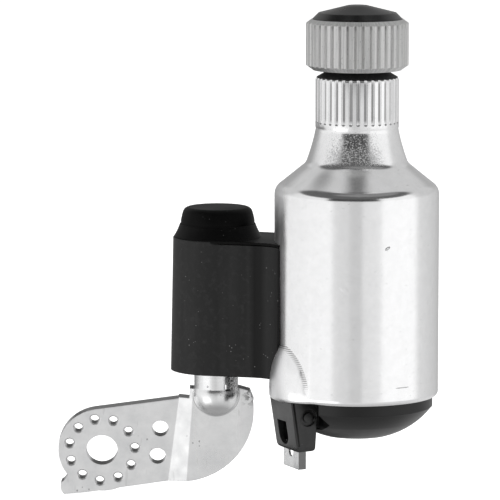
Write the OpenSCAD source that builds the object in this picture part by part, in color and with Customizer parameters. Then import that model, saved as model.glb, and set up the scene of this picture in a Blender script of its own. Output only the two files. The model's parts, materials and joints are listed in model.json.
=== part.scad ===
// Bottle dynamo on its swivel bracket, in millimetres.
// Origin: centre of the fork-bolt hole, in the middle of the plate's thickness.
// +Z runs up along the swivel tube, +X from the bracket to the bottle, +Y towards the wheel.

/* [Bracket plate] */
// Thickness of the stamped sheet
plate_t = 2.4; // [2.1:0.1:2.8]
// Lean of the plate against the swivel tube, top towards the viewer, degrees
plate_lean = 10.2; // [6:0.2:14]
// Radius of the fork-bolt hole
fork_hole_r = 3.9; // [3.2:0.05:4.4]
// Radius of the rounded end around the fork-bolt hole
eye_r = 10.9; // [10.6:0.1:11.4]
// Number of index holes around the fork-bolt hole
index_count = 11; // [8:1:12]
// Pitch circle diameter of the index holes
index_pcd = 16.5; // [15.8:0.1:16.8]
// Radius of an index hole
index_hole_r = 1.1; // [0.8:0.05:1.3]
// Radius of the two side holes
side_hole_r = 2.05; // [1.6:0.05:2.3]
// Slope of the bent strip between the two flat parts, degrees
jog_angle = 18; // [15:1:24]
// Step from the eye part to the tube part, at the height of the fork-bolt hole
jog_h = 1.34; // [1.1:0.02:1.6]

/* [Swivel tube] */
// Distance from the fork-bolt hole to the tube's axis, along X
tube_x = 28.55; // [28.1:0.05:29]
// Outer radius of the rolled tube
tube_r = 5.45; // [5:0.05:5.8]
// Wall of the rolled tube
tube_wall = 1.95; // [1.6:0.05:2.2]
// Radius of the drawn round end below the tube
dome_r = 5.7; // [5.6:0.05:6]
// Width of the open seam in the tube
seam_w = 1.5; // [1:0.1:1.8]
// Visible length of tube between the round end's centre and the housing
tube_show = 6.35; // [5:0.05:9]

/* [Pivot housing] */
// Height of the moulded barrel
housing_h = 33; // [31:0.1:38]
// Radius of the barrel at its bottom
barrel_r = 11.65; // [11.4:0.05:12.2]
// How much smaller the barrel's radius is at the top
barrel_draft = 0.65; // [0.3:0.05:0.8]
// How far the barrel's centre lies off the swivel axis, towards the bottle
barrel_shift = 0.45; // [0:0.05:0.5]
// Wall of the barrel at its bottom
barrel_wall = 2; // [1.8:0.1:2.3]
// Thickness of the barrel's floor, which runs on the tube
barrel_floor = 4; // [3:0.1:5]
// Gap between the barrel and the bottle, filled by the web
web_gap = 4.45; // [4.2:0.05:7]
// Half angle of the bottle that the saddle wraps, degrees
saddle_half = 39.5; // [37:0.5:42]
// Turn of the bottle about the tube at rest, towards the viewer, degrees
rest_yaw = 18; // [10:1:25]

/* [Cover and button] */
// Height of the cover above the barrel
cover_h = 3.3; // [3.1:0.1:4]
// Thickness of the cover's plate over the web
plate_over_t = 0.8; // [0.7:0.1:1.2]
// How deep that plate is let into the web
plate_over_drop = 0.6; // [0.3:0.1:0.6]
// Radius of the push button at its widest
button_r = 9.1; // [8.8:0.05:9.2]
// Height of the button's top above the cover
button_h = 4.1; // [3.7:0.1:5]
// Travel of the button
button_travel = 2.2; // [1.5:0.1:2.3]
// Swing of the bottle from rest to the tyre, degrees
swing = 35; // [25:1:40]

/* [Bottle] */
// Outer radius of the bottle
can_r = 20.05; // [19.5:0.05:21]
// Wall of the bottle
can_wall = 0.8; // [0.6:0.1:1]
// Height of the straight body above the rolled edge
body_h = 49.3; // [48.5:0.1:55]
// Height of the sloping shoulder
shoulder_h = 8; // [7.5:0.1:10]
// Height of the waist between shoulder and flutes
waist_h = 8.2; // [7.5:0.1:10]
// Height of the fluted neck
neck_h = 12.4; // [11:0.1:14]
// Radius of the neck
neck_r = 10.15; // [9.9:0.05:10.6]
// Radius of the neck's bore
neck_bore = 8.6; // [8.3:0.05:8.9]
// Number of flutes in the neck
flute_count = 35; // [20:1:38]
// Radius of a flute's round groove
flute_r = 0.45; // [0.3:0.05:0.55]
// How far the bottle's lower edge lies below the housing
can_drop = 4.55; // [4:0.05:6]
// Angle of the terminal round the bottle, from the web towards the viewer, degrees
terminal_angle = 44; // [42:1:50]
// How far the pressed pocket over the terminal stands out
pocket_out = 2.4; // [1.9:0.1:2.6]

/* [Roller] */
// Outer radius of the drive roller
roller_r = 12.45; // [11.5:0.05:14]
// Height of the drive roller
roller_h = 12.3; // [11:0.1:16]
// Number of grooves in the roller
groove_count = 40; // [30:1:50]
// Depth of a roller groove
groove_depth = 0.5; // [0.3:0.05:0.6]
// Height of the cap on the roller
cap_h = 3.35; // [3:0.05:5]
// Radius of the shaft
shaft_r = 2; // [1.5:0.05:2.3]

/* [Base and terminal] */
// Depth of the domed base below the bottle's edge
base_h = 9.6; // [8.6:0.1:10.4]
// Depth of the terminal block below the bottle's edge
block_h = 12.4; // [12.2:0.1:13.5]
// Width of the terminal block at its top
block_w = 10.8; // [10.4:0.1:11.6]
// Width of the slot that takes the wire
wire_slot_w = 4.8; // [3.5:0.1:5]
// Thickness of the terminal's steel tab
clip_t = 0.5; // [0.4:0.05:0.9]
// Width of the terminal's steel tab
clip_w = 8.2; // [7.4:0.1:8.2]
// How far the tab reaches below the block
clip_show = 4.3; // [3.5:0.1:6]
// Travel of the tab
clip_travel = 4; // [2:0.1:4.2]

/* [Hidden] */
$fn = 96;

// Clearances
run_gap = 0.05;
shaft_gap = 0.03;
slide_gap = 0.1;
rest_gap = 0.3;
cut = 1;
far = 60;

// Bracket plate, in its own plane: x to the right, y up, z towards the viewer
bend_x = 17.5;
bend_skew = 7.3;
part_b_lean = 1;
edge_slope = 7.9;
first_index_angle = 3.9;
side_holes = [[14.6, 5.7], [13.85, -1.6]];
side_disc_c = [19.2, 10.7];
side_disc_r = 18.65;
wing_x = 21.9;
seam_low = 1.5;
dome_y = 15.3;
wing_y = 16.6;
rollover = 0.28;
dome_w = plate_t / 2 + jog_h - tan(part_b_lean) * dome_y;
tube_y = -(dome_y * sin(plate_lean) + dome_w * cos(plate_lean));
dome_z = dome_y * cos(plate_lean) - dome_w * sin(plate_lean);
tube_bore = tube_r - tube_wall;
seam_angle = 33;

// Barrel, with its floor at height 0 of the dynamo's frame
housing_z = dome_z + tube_show;
barrel_top_r = barrel_r - barrel_draft;
barrel_bore = barrel_r - barrel_wall;
arm = can_r + web_gap + barrel_r;
plug_depth = 3.3;
plug_floor = 1.2;
ledge_slack = 0.4;
plug_z = housing_h - plug_depth;
ledge_z = housing_h + cover_h - button_travel - ledge_slack;
lip_t = 0.1;
seam_h = 0.2;
seam_in = 0.25;
collar_t = 2.5;
collar_top = plug_z - rest_gap;
collar_z = collar_top - collar_t;
collar_gap = 0.4;
collar_r = barrel_bore - barrel_shift - collar_gap;
spigot_h = 4;
swivel_wire = 0.85;
swivel_turns = 7;
button_spring_r = 4.2;
button_wire = 0.4;
button_turns = 5;
skirt_t = 0.95;
top_t = 1.5;
guide_t = 1.3;
button_round = [1.6, 1.3];
button_taper = 0.48;
web_lean = 4.2;
web_bite = 0.04;
waist_x = 13;
waist_sag = 0.75;
saddle_lip = 0.9;
draft = atan(barrel_draft / housing_h);
stem_r = 1.8;
window_r = [5.2, 7.8];
lug_half = 9;
lug_slack = 0.6;
stem_gap = 0.2;

// Bottle heights above its lower edge
shoulder_z = body_h + shoulder_h;
flute_z = shoulder_z + waist_h;
neck_z = flute_z + neck_h;
roll_in = 0.95;
roll_h = 1.6;
can_in = can_r - can_wall;
edge_in = can_r - roll_in - can_wall;
flare_r = neck_r + 2;
bevel_in = 1.5;
bevel_h = 2.9;
sleeve_z = shoulder_z + 0.6;
sleeve_top = neck_z - 0.8;
bush_r = 5;
bush_h = 6.5;
washer_r = 3.9;
felt_room = 0.8;
circlip_w = 1.4;
circlip_t = 0.8;
roller_gap = 1.85;
roller_z = neck_z + roller_gap;
roller_top = roller_z + roller_h;
socket_depth = 6.2;
socket_wall = 4;
groove_phase = 0.58;
nut_h = 3.2;
nut_r = 4;
shaft_top = roller_top - socket_depth + nut_h + 1;

// Pressed pocket over the terminal: a second, smaller round beside the bottle's axis
pocket_off = 11;
pocket_r = can_r + pocket_out - pocket_off;
pocket_h = 14.1;
pocket_roll_h = 1.1;

// Stator and rotor heights above the bottle's lower edge
stator_z = 3.2;
stator_h = 23.6;
claw_t = 1.2;
claw_count = 4;
claw_half = 20;
claw_yoke = 1;
claw_short = 2;
stator_t = 9.95;
magnet_r = can_in - stator_t;
claw_in = magnet_r + 0.4;
claw_out = claw_in + 1;
bobbin_t = 0.9;
bobbin_in = claw_out + rest_gap;
magnet_z = stator_z + 3.8;
magnet_h = stator_h - 7.6;
hub_r = 4.5;
hub_flange = 1.5;
screw_z = [can_drop + 7.45, can_drop + housing_h - 4.55];
screw_r = 1.3;
screw_bite = 5.2;
screw_head_r = 2.6;
screw_head_t = 0.9;
screw_seat = sqrt(can_in * can_in - screw_head_r * screw_head_r);

// Base cap
rim_r = can_r - 1.35;
rim_h = 2.5;
flat_r = 8.5;
niche_w = 4.9;

// Terminal, in a frame whose x runs outwards from the bottle's axis
block_out = can_r + 0.45;
block_in = can_r - 6.85;
block_lean = 1.85;
block_side = 0.7;
blade_out = can_r - 2.25;
well_in = can_r - 5.05;
well_top = -3.4;
clip_top = -10.2;
clip_low = -block_h - clip_show;
spring_r = 0.85;
spring_wire = 0.2;
spring_turns = 6;
strip_t = 0.35;
strip_w = 2.2;
strip_y = -3;
flange_w = 2;

function turn(v, a) = [v.x * cos(a) - v.y * sin(a), v.x * sin(a) + v.y * cos(a)];

// Points of the arc from p to q that stands out by sag to the right; p itself is left out
function bow(p, q, sag, n = 6) =
    let (d = q - p, c = norm(d), side = [d.y, -d.x] / c)
    let (r = (c * c / 4 + sag * sag) / (2 * sag), o = (p + q) / 2 - side * (r - sag))
    let (a = 2 * asin(c / 2 / r))
    [for (i = [1:n]) o + turn(p - o, a * i / n)];

// Points of one ring of a coil's wire, a hexagon across the wire's run
function coil_ring(r, wire, z0, rise, a) =
    [for (k = [0:5]) let (w = wire * [cos(60 * k), sin(60 * k)])
        [(r + w.x) * cos(a), (r + w.x) * sin(a), z0 + rise * a / 360 + w.y]];

module coil(r, wire, z0, z1, turns) {
    steps = 10 * turns;
    rise = (z1 - z0 - 2 * wire) / turns;
    rings = [for (i = [0:steps]) coil_ring(r, wire, z0 + wire, rise, 360 * turns * i / steps)];
    sides = [for (i = [0:steps - 1], k = [0:5])
        let (a = 6 * i + k, b = 6 * i + (k + 1) % 6)
        each [[a, a + 6, b + 6], [a, b + 6, b]]];
    ends = [[0, 1, 2, 3, 4, 5], [for (k = [5:-1:0]) 6 * steps + k]];
    polyhedron([for (ring = rings) each ring], concat(sides, ends), convexity = 10);
}

module tube(r_out, r_in, z0, z1) {
    rotate_extrude() translate([r_in, z0]) square([r_out - r_in, z1 - z0]);
}

// Frames
module at_plate() rotate([90 + plate_lean, 0, 0]) children();
module at_tube() translate([tube_x, tube_y, 0]) children();
module at_dynamo() translate([tube_x, tube_y, housing_z]) rotate([0, 0, -rest_yaw]) children();
module at_barrel() at_dynamo() translate([barrel_shift, 0, 0]) children();
module at_can() at_dynamo() translate([arm, 0, -can_drop]) children();
module to_terminal() rotate([0, 0, 180 + terminal_angle]) children();
module at_terminal() at_can() to_terminal() children();

// Everything behind the sheet's front face, moved back by drop
module behind_face(drop) {
    translate([-far, -far, plate_t / 2 - drop - far]) cube([2 * far, 2 * far, far]);
    intersection() {
        translate([bend_x, 0, plate_t / 2]) rotate([0, 0, -bend_skew]) rotate([0, -jog_angle, 0])
            translate([-far, -far, -drop - far]) cube([2 * far, 2 * far, far]);
        translate([0, 0, plate_t / 2 + jog_h]) rotate([-part_b_lean, 0, 0])
            translate([-far, -far, -drop - far]) cube([2 * far, 2 * far, far]);
    }
}

module plate_outline() {
    eye_edge = eye_r * [cos(90 + edge_slope), sin(90 + edge_slope)];
    top_end = [wing_x, eye_r / cos(edge_slope) + tan(edge_slope) * wing_x];
    foot = concat([[-9.6, -11.8]], bow([-9.6, -11.8], [-10.2, -8.6], -0.6, 4),
        bow([-10.2, -8.6], [-8.7, -6.8], 0.2, 3));
    circle(eye_r);
    polygon(concat([[0, 0], eye_edge, top_end, [wing_x + 0.1, wing_y], [34.2, wing_y + 0.2], [36.9, 16],
        [37.85, 13.6], side_disc_c, [21.1, -7.8], [16.6, -8.2], [-3.3, -11.2]], foot));
    intersection() {
        translate(side_disc_c) circle(side_disc_r);
        translate([side_disc_c.x, -far]) square([far, far + 14]);
    }
}

module plate_holes() {
    for (p = side_holes) translate(p) cylinder(r = side_hole_r, h = far, center = true);
    cylinder(r = fork_hole_r, h = far, center = true);
    for (i = [0:index_count - 1])
        rotate([0, 0, first_index_angle + i * 360 / index_count]) translate([index_pcd / 2, 0, 0]) {
            cylinder(r = index_hole_r, h = far, center = true, $fn = 36);
            translate([0, 0, plate_t / 2 - rollover])
                cylinder(r1 = index_hole_r, r2 = index_hole_r + 2 * rollover, h = 2 * rollover, $fn = 36);
        }
}

module tube_and_dome() {
    difference() {
        at_tube() {
            translate([0, 0, dome_z]) cylinder(r = tube_r, h = housing_z + collar_z - dome_z);
            translate([0, 0, dome_z]) sphere(dome_r);
        }
        at_plate() intersection() {
            behind_face(plate_t);
            translate([-far, wing_y - 2 * far, -far]) cube(2 * far);
        }
    }
}

module mounting_bracket() {
    color("lightgray") difference() {
        union() {
            at_plate() intersection() {
                linear_extrude(height = far, center = true) plate_outline();
                difference() {
                    behind_face(0);
                    behind_face(plate_t);
                }
            }
            tube_and_dome();
        }
        at_plate() plate_holes();
        at_tube() {
            translate([0, 0, dome_z]) cylinder(r = tube_bore, h = far);
            translate([0, 0, dome_z]) sphere(tube_bore);
            rotate([0, 0, seam_angle]) translate([-seam_w / 2, -tube_r - cut, dome_z + seam_low])
                cube([seam_w, tube_r + cut, far]);
        }
    }
}

module sector(r, a0, a1) {
    step = (a1 - a0) / 8;
    polygon(concat([[0, 0]], [for (i = [0:8]) r * [cos(a0 + step * i), sin(a0 + step * i)]]));
}

// Ring sector in the plane, from angle a0 to a1
module ring_sector(r, a0, a1) {
    intersection() {
        difference() {
            circle(r[1]);
            circle(r[0]);
        }
        sector(2 * r[1], a0, a1);
    }
}

module latch_collar() {
    color("dimgray") at_dynamo() difference() {
        union() {
            translate([0, 0, collar_z]) cylinder(r = collar_r, h = collar_t);
            translate([0, 0, collar_z - spigot_h]) cylinder(r = tube_bore, h = spigot_h + collar_t / 2);
        }
        translate([0, 0, collar_z - spigot_h - cut])
            cylinder(r = stem_r + barrel_shift + rest_gap, h = spigot_h + collar_t + 2 * cut);
        translate([0, 0, collar_z - cut]) linear_extrude(height = collar_t + 2 * cut)
            ring_sector(window_r, -lug_half - lug_slack, swing + lug_half + lug_slack);
    }
}

module torsion_spring() {
    color("gray") at_dynamo()
        coil((tube_r + barrel_bore) / 2, swivel_wire, barrel_floor + rest_gap,
            collar_z - rest_gap, swivel_turns);
}

// Outer form of the bottle, solid
module can_outer() {
    bevel = [can_r - bevel_in, body_h + bevel_h];
    crease_low = [flare_r + 1.15, shoulder_z - 0.85];
    crease_high = [flare_r - 0.05, shoulder_z + 0.8];
    rotate_extrude() polygon(concat([[0, 0], [can_r - roll_in, 0]],
        bow([can_r - roll_in, 0], [can_r, roll_h], 0.35),
        [[can_r, body_h]],
        bow([can_r, body_h], bevel, 0.45),
        [crease_low],
        bow(crease_low, crease_high, -0.2, 4),
        bow(crease_high, [neck_r - 0.1, flute_z], -0.15),
        [[neck_r, flute_z + 0.4], [neck_r, neck_z - 0.5]],
        bow([neck_r, neck_z - 0.5], [neck_r - 0.5, neck_z], 0.14, 4),
        [[0, neck_z]]));
    to_terminal() translate([pocket_off, 0, 0])
        rotate_extrude() polygon(concat([[0, 0], [pocket_r - roll_in, 0]],
            bow([pocket_r - roll_in, 0], [pocket_r, pocket_roll_h], 0.3),
            bow([pocket_r, pocket_roll_h], [pocket_r - pocket_out - 0.1, pocket_h], 0.8, 8),
            [[0, pocket_h]]));
}

module can_inner() {
    pocket_in = pocket_r - can_wall;
    rotate_extrude() polygon(concat([[0, -cut], [edge_in, -cut], [edge_in, can_wall]],
        bow([edge_in, can_wall], [can_in, roll_h + can_wall], 0.25),
        [[can_in, body_h - 0.4], [can_in - bevel_in - 0.2, body_h + bevel_h - 0.4],
            [flare_r + 0.4, shoulder_z - 1.2], [neck_bore, shoulder_z + 2],
            [neck_bore, neck_z + cut], [0, neck_z + cut]]));
    to_terminal() translate([pocket_off, 0, 0])
        rotate_extrude() polygon(concat([[0, -cut], [pocket_in - roll_in, -cut],
            [pocket_in - roll_in, can_wall]],
            bow([pocket_in - roll_in, can_wall], [pocket_in, pocket_roll_h + can_wall], 0.2),
            bow([pocket_in, pocket_roll_h + can_wall], [pocket_in - pocket_out, pocket_h - can_wall],
                0.75, 8),
            [[0, pocket_h - can_wall]]));
}

module flute_grooves() {
    groove_low = flute_z + 1.75;
    for (i = [0:flute_count - 1])
        rotate([0, 0, i * 360 / flute_count]) translate([neck_r + 0.02, 0, groove_low]) {
            cylinder(r = flute_r, h = neck_h + cut, $fn = 24);
            sphere(flute_r, $fn = 24);
        }
}

module screw_axis(z) translate([0, 0, z]) rotate([0, -90, 0]) children();

module can_shell() {
    color("silver") at_can() difference() {
        can_outer();
        can_inner();
        flute_grooves();
        for (z = screw_z) screw_axis(z) cylinder(r = screw_r, h = can_r + cut, $fn = 36);
    }
}

module saddle_screws() {
    color("gray") at_can() for (z = screw_z) screw_axis(z) {
        translate([0, 0, screw_seat - screw_head_t])
            cylinder(r = screw_head_r, h = screw_head_t, $fn = 36);
        translate([0, 0, screw_seat])
            cylinder(r = screw_r, h = can_r + screw_bite - screw_seat, $fn = 36);
    }
}

// Plan of the web's front, reaching far behind it
module web_half() {
    start = [barrel_shift, 0] + (barrel_r - web_bite) * [sin(web_lean), cos(web_lean)];
    waist = [waist_x, start.y - tan(web_lean) * (waist_x - start.x)];
    saddle = [-cos(saddle_half), sin(saddle_half)];
    tip = [arm, 0] + (can_r + saddle_lip) * saddle;
    tip_in = [arm, 0] + (can_r - 0.5) * saddle;
    polygon(concat([[0, -far], [0, start.y - web_bite], start, waist], bow(waist, tip, waist_sag, 8),
        [tip_in, [arm, 0], [arm, -far]]));
}

// Everything behind the web's front, which leans back by the barrel's draft
module web_side() {
    rotate([draft, 0, 0]) linear_extrude(height = 2 * far, center = true) web_half();
}

// Web between barrel and bottle from height z0 to z1
module web(z0, z1) {
    intersection() {
        translate([0, -far, z0]) cube([arm, 2 * far, z1 - z0]);
        web_side();
        mirror([0, 1, 0]) web_side();
    }
}

module barrel_cone() {
    translate([barrel_shift, 0, 0]) cylinder(r1 = barrel_r, r2 = barrel_top_r, h = housing_h);
}

module pivot_housing() {
    color("#262626") difference() {
        at_dynamo() difference() {
            union() {
                barrel_cone();
                web(0, housing_h - plate_over_drop);
            }
            translate([barrel_shift, 0, barrel_floor]) cylinder(r = barrel_bore, h = housing_h);
            translate([0, 0, -cut]) cylinder(r = tube_r + run_gap, h = far);
        }
        at_can() can_outer();
        at_can() for (z = screw_z) screw_axis(z) cylinder(r = screw_r, h = can_r + screw_bite, $fn = 36);
    }
}

module housing_cover() {
    lip_r = button_r + slide_gap + lip_t;
    foot_r = barrel_top_r - seam_in;
    plate_z = housing_h - plate_over_drop;
    lug_r = [window_r[0] + rest_gap, window_r[1] - rest_gap];
    lug_z = collar_z + rest_gap;
    color("#1c1c1c") {
        at_barrel() difference() {
            union() {
                translate([0, 0, housing_h]) rotate_extrude() polygon(concat([[0, 0], [foot_r, 0]],
                    [[foot_r, seam_h], [barrel_top_r - seam_h, seam_h]],
                    bow([barrel_top_r - seam_h, seam_h], [lip_r + lip_t, cover_h - seam_h], -0.1),
                    [[lip_r, cover_h], [0, cover_h]]));
                translate([0, 0, plug_z]) cylinder(r = barrel_bore, h = plug_depth + cut);
                // Plate over the web, with a fine shadow line under its edge
                translate([-barrel_shift, 0, 0]) difference() {
                    web(plate_z + seam_h, plate_z + plate_over_t);
                    barrel_cone();
                    translate([arm, 0, 0]) cylinder(r = can_r, h = far);
                }
            }
            translate([0, 0, plug_z - cut]) cylinder(r = stem_r + stem_gap, h = far);
            translate([0, 0, plug_z + plug_floor]) cylinder(r = button_r - skirt_t, h = far);
            translate([0, 0, ledge_z]) cylinder(r = button_r + slide_gap, h = far);
        }
        // Lug that turns in the collar's window
        at_dynamo() translate([0, 0, lug_z])
            linear_extrude(height = plug_z + plug_floor / 2 - lug_z)
                ring_sector(lug_r, -lug_half, lug_half);
    }
}

module push_button() {
    guide_z = plug_z + plug_floor + button_travel + 2 * slide_gap;
    low_z = ledge_z + button_travel + slide_gap;
    top_z = housing_h + cover_h + button_h;
    skirt_in = button_r - skirt_t - slide_gap;
    bore_r = skirt_in - guide_t;
    shoulder = [button_r - button_taper, top_z - button_round.y];
    stem_z = collar_z + collar_t / 2;
    color("#202020") at_barrel() {
        rotate_extrude() polygon(concat([[0, top_z - top_t], [bore_r, top_z - top_t],
            [bore_r, guide_z], [skirt_in, guide_z], [skirt_in, low_z],
            [button_r, low_z], [button_r, low_z + skirt_t]],
            bow([button_r, low_z + skirt_t], shoulder, 0.05, 3),
            bow(shoulder, [shoulder.x - button_round.x, top_z], 0.38, 8),
            [[0, top_z]]));
        translate([0, 0, stem_z]) cylinder(r = stem_r, h = top_z - top_t / 2 - stem_z);
    }
}

module button_spring() {
    color("gray") at_barrel()
        coil(button_spring_r, button_wire, plug_z + plug_floor,
            housing_h + cover_h + button_h - top_t, button_turns);
}

module bearing_sleeve() {
    color("darkgray") at_can() difference() {
        tube(neck_bore, bush_r, sleeve_z, sleeve_top);
        tube(bush_r + felt_room, bush_r - cut, sleeve_z + bush_h, sleeve_top - bush_h);
    }
}

module lower_bush() {
    color("goldenrod") at_can() tube(bush_r, shaft_r + shaft_gap, sleeve_z, sleeve_z + bush_h);
}

module upper_bush() {
    color("goldenrod") at_can() tube(bush_r, shaft_r + shaft_gap, sleeve_top - bush_h, sleeve_top);
}

module oil_felt() {
    color("tan") at_can()
        tube(bush_r + felt_room, shaft_r + slide_gap, sleeve_z + bush_h, sleeve_top - bush_h);
}

module dust_seal() {
    color("#181818") at_can() rotate_extrude() polygon([[washer_r + rest_gap, sleeve_top],
        [neck_bore, sleeve_top], [neck_bore, neck_z], [neck_r - 0.3, neck_z],
        [neck_r - 0.3, neck_z + 0.15],
        [7.4, roller_z - rest_gap], [washer_r + rest_gap, roller_z - rest_gap]]);
}

module thrust_washer() {
    color("gray") at_can() tube(washer_r, shaft_r, sleeve_top + run_gap, roller_z);
}

module rotor_shaft() {
    shaft_low = magnet_z - 1;
    color("lightgray") at_can()
        translate([0, 0, shaft_low]) cylinder(r = shaft_r, h = shaft_top - shaft_low);
}

module shaft_circlip() {
    color("dimgray") at_can() difference() {
        tube(shaft_r + circlip_w, shaft_r, sleeve_z - slide_gap - circlip_t, sleeve_z - slide_gap);
        translate([0, -circlip_w / 2, sleeve_z - circlip_t - cut])
            cube([far, circlip_w, circlip_t + 2 * cut]);
    }
}

module magnet_hub() {
    color("ivory") at_can() {
        tube(hub_r, shaft_r, magnet_z, magnet_z + magnet_h);
        tube(hub_r + hub_flange, shaft_r, magnet_z + magnet_h, magnet_z + magnet_h + claw_t);
    }
}

module rotor_magnet() {
    color("#3a3a3a") at_can() tube(magnet_r, hub_r, magnet_z, magnet_z + magnet_h);
}

// Claw pole lying on height 0 with its fingers upwards, half of the stator's iron
module claw_pole(height) {
    tube(can_in, claw_out, 0, claw_t);
    tube(can_in, can_in - claw_yoke, 0, height / 2);
    for (i = [0:claw_count - 1]) rotate([0, 0, i * 360 / claw_count])
        linear_extrude(height = height - claw_t - claw_short)
            ring_sector([claw_in, claw_out + run_gap], -claw_half, claw_half);
}

module screw_head_space() {
    for (z = screw_z) screw_axis(z) cylinder(r = screw_head_r + rest_gap, h = far, $fn = 36);
}

// Room for the contact strip from the bottle's edge up to the coil
module strip_space(gap) {
    to_terminal() translate([well_in - gap, strip_y - gap, -cut])
        cube([strip_t + 2 * gap, strip_w + 2 * gap, stator_z + claw_t + cut + rest_gap]);
}

module lower_claw_pole() {
    color("slategray") at_can() difference() {
        translate([0, 0, stator_z]) claw_pole(stator_h);
        screw_head_space();
        strip_space(0.6);
    }
}

module upper_claw_pole() {
    color("slategray") at_can() difference() {
        translate([0, 0, stator_z + stator_h]) rotate([180, 0, 180 / claw_count]) claw_pole(stator_h);
        screw_head_space();
    }
}

module coil_bobbin() {
    low = stator_z + claw_t;
    high = stator_z + stator_h - claw_t;
    flange_r = can_in - claw_yoke - bobbin_t;
    color("beige") at_can() {
        tube(bobbin_in + bobbin_t, bobbin_in, low, high);
        tube(flange_r, bobbin_in, low, low + bobbin_t);
        tube(flange_r, bobbin_in, high - bobbin_t, high);
    }
}

module stator_coil() {
    color("chocolate") at_can()
        tube(can_in - claw_yoke - 2 * bobbin_t, bobbin_in + bobbin_t, stator_z + claw_t + bobbin_t,
            stator_z + stator_h - claw_t - bobbin_t);
}

module block_solid() {
    side = concat([[block_in, 0], [block_in + 0.5, -block_h + 1.1]],
        bow([block_in + 0.5, -block_h + 1.1], [block_in + 1.5, -block_h], 0.3, 4),
        [[block_out - block_lean - 0.7, -block_h]],
        bow([block_out - block_lean - 0.7, -block_h], [block_out - block_lean, -block_h + 0.8], 0.15, 3),
        [[block_out, 0]]);
    half = block_w / 2;
    front = concat([[-half - block_side, 0], [-half - block_side, -block_h + 1.4]],
        bow([-half - block_side, -block_h + 1.4], [1.2 - half - block_side, -block_h], 0.35, 4),
        [[half - 1.3, -block_h]],
        bow([half - 1.3, -block_h], [half - 0.4, -block_h + 0.9], 0.25, 4),
        [[half, 0]]);
    intersection() {
        rotate([90, 0, 0]) linear_extrude(height = far, center = true) polygon(side);
        rotate([90, 0, 90]) linear_extrude(height = far) polygon(front);
    }
}

module terminal_block() {
    slot_c = -1.4;
    slot_low = -11.1;
    slot_high = -5.2;
    boss = [block_out - 4.8, -3.9];
    boss_r = 1.2;
    recess_r = 2.1;
    recess = 0.8;
    pin_r = 0.5;
    side_y = block_w / 2;
    line_x = 0.3;
    line_w = 0.45;
    line_in = 0.65;
    line_end = 1.6;
    color("#2b2b2b") at_terminal() {
        difference() {
            block_solid();
            // Well that the steel tab slides in
            translate([well_in, -clip_w / 2 - slide_gap, -far])
                cube([blade_out + slide_gap - well_in, clip_w + 2 * slide_gap, far + well_top]);
            // Wire entry
            translate([blade_out - cut, 0, 0]) rotate([90, 0, 90]) linear_extrude(height = far) {
                translate([slot_c, slot_low + wire_slot_w / 2]) circle(wire_slot_w / 2);
                translate([slot_c - wire_slot_w / 2, slot_low + wire_slot_w / 2])
                    square([wire_slot_w, slot_high - slot_low - wire_slot_w / 2]);
            }
            // Passage of the contact strip
            translate([well_in, strip_y, well_top - cut]) cube([strip_t, strip_w, far]);
            // Fine groove beside the corner, along its lean
            translate([0, side_y - line_in, 0]) rotate([90, 0, 0]) mirror([0, 0, 1])
                linear_extrude(height = far) polygon([[block_out - line_x, cut],
                    [block_out - line_x - line_w, cut],
                    [block_out - line_x - line_w - block_lean, -block_h + line_end],
                    [block_out - line_x - block_lean, -block_h + line_end]]);
            // Round recess in the side
            translate([boss.x, side_y - recess, boss.y])
                rotate([-90, 0, 0]) cylinder(r = recess_r, h = far);
        }
        translate([boss.x, side_y - 2 * recess, boss.y])
            rotate([-90, 0, 0]) cylinder(r = boss_r, h = 2 * recess - 0.25);
        translate([block_in + 0.7, side_y - 2 * recess, boss.y - pin_r])
            rotate([-90, 0, 0]) cylinder(r = pin_r, h = 2 * recess + 0.1, $fn = 24);
    }
}

module terminal_clip() {
    half = clip_w / 2;
    blade_in = blade_out - clip_t;
    arm_in = well_in + strip_t + slide_gap;
    height = clip_top - clip_low;
    hole_r = 1.2;
    hole_up = 3.9;
    color("lightgray") at_terminal() difference() {
        union() {
            translate([blade_in, -half, clip_low]) cube([clip_t, clip_w, height]);
            translate([blade_out - flange_w, half - clip_t, clip_low]) cube([flange_w, clip_t, height]);
            translate([arm_in, -half, clip_top - clip_t]) cube([blade_out - arm_in, clip_w, clip_t]);
        }
        translate([blade_in - cut, 0, clip_low + hole_up]) rotate([0, 90, 0])
            cylinder(r = hole_r, h = far, $fn = 48);
    }
}

module terminal_spring() {
    color("gray") at_terminal() translate([(well_in + blade_out) / 2, clip_w / 4, 0])
        coil(spring_r, spring_wire, clip_top, well_top, spring_turns);
}

module contact_strip() {
    low = clip_top + clip_travel + 1;
    color("goldenrod") at_terminal()
        translate([well_in, strip_y, low]) cube([strip_t, strip_w, stator_z + claw_t - low]);
}

// Solid outline of the base cap
module base_outline() {
    rotate_extrude() polygon(concat([[0, -base_h], [flat_r, -base_h]],
        bow([flat_r, -base_h], [rim_r - 0.05, -rim_h], 1, 8),
        [[rim_r, -rim_h], [rim_r, 0], [0, 0]]));
}

module base_cap() {
    wall = 1.6;
    niche = [block_in - 0.6, block_w / 2, -6.9];
    niche_wall = 1.2;
    color("#303030") at_can() difference() {
        union() {
            difference() {
                base_outline();
                rotate_extrude() polygon([[0, -base_h + wall], [flat_r - 0.6, -base_h + wall],
                    [edge_in - wall, -wall - rest_gap], [edge_in - wall, cut], [0, cut]]);
            }
            tube(edge_in, edge_in - wall, -wall, stator_z);
            intersection() {
                base_outline();
                to_terminal() translate(niche - [niche_wall, niche_wall, niche_wall])
                    cube([far, niche_w + 2 * niche_wall, far]);
            }
        }
        to_terminal() block_solid();
        to_terminal() translate([niche.x, niche.y - cut, niche.z]) cube([far, niche_w + cut, -niche.z]);
        strip_space(rest_gap);
    }
}

// V groove cutter at the roller's edge
module roller_groove() {
    translate([roller_r, 0]) rotate([0, 0, 45]) square(groove_depth * sqrt(2), center = true);
}

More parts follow.
